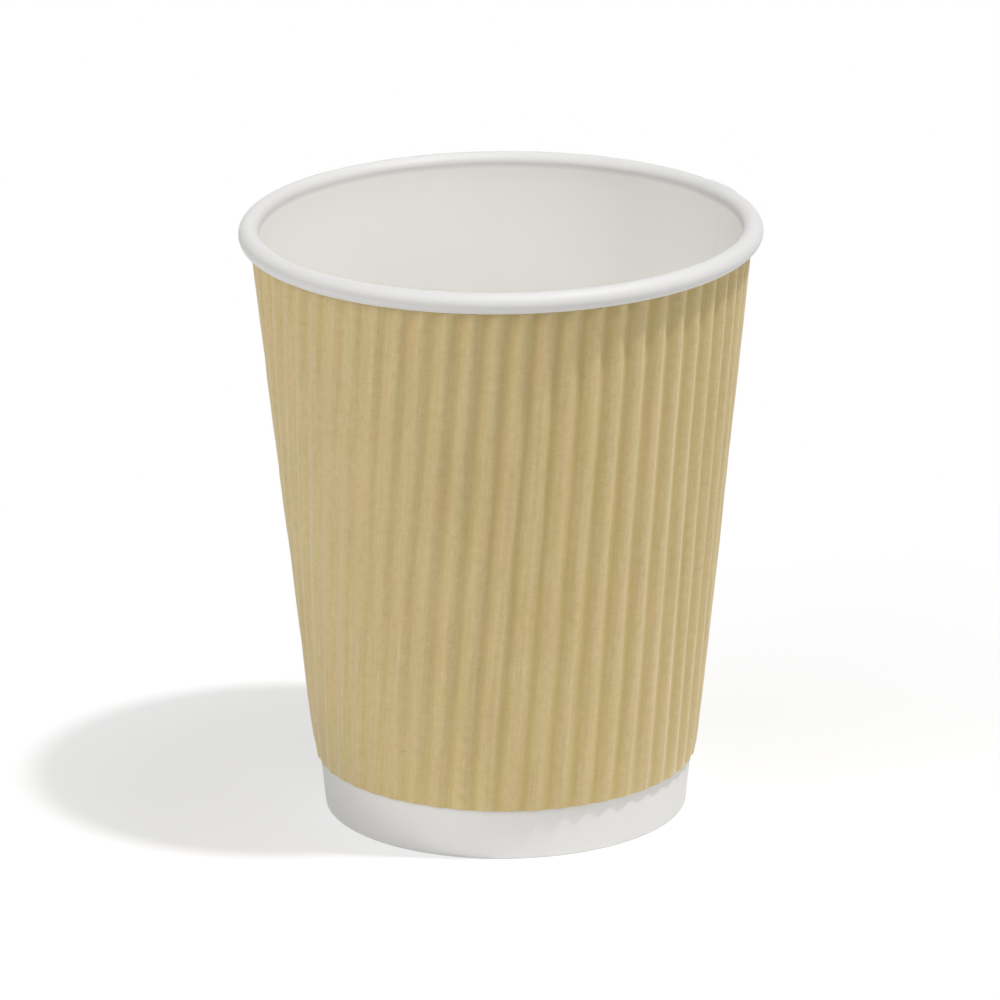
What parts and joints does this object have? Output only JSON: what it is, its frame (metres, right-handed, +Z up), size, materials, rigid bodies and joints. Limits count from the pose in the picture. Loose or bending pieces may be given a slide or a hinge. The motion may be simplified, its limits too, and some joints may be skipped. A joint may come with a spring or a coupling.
{
  "type": "paper coffee cup",
  "caption": "Ripple-wall paper cup for hot drinks: white coated wall with rolled rim and folded foot, clamped floor disc, corrugated kraft sleeve.",
  "frame": {"origin": "centre of the foot, on the table", "axes": "+Z up along the cup's axis towards the rim, -Y is the front, and the sleeve's seam is at the back left, towards -X and +Y"},
  "size_m": [0.08, 0.08, 0.0936],
  "materials": {
    "coated_board": "smooth white coated paperboard with a soft sheen",
    "floor_board": "smooth white coated paperboard with a soft sheen",
    "kraft_paper": "matt brown kraft paper with fine fibres"
  },
  "bodies": {
    "root": {"cup_wall": "coated_board", "bottom_disc": "floor_board", "ripple_sleeve": "kraft_paper"}
  },
  "joints": []
}
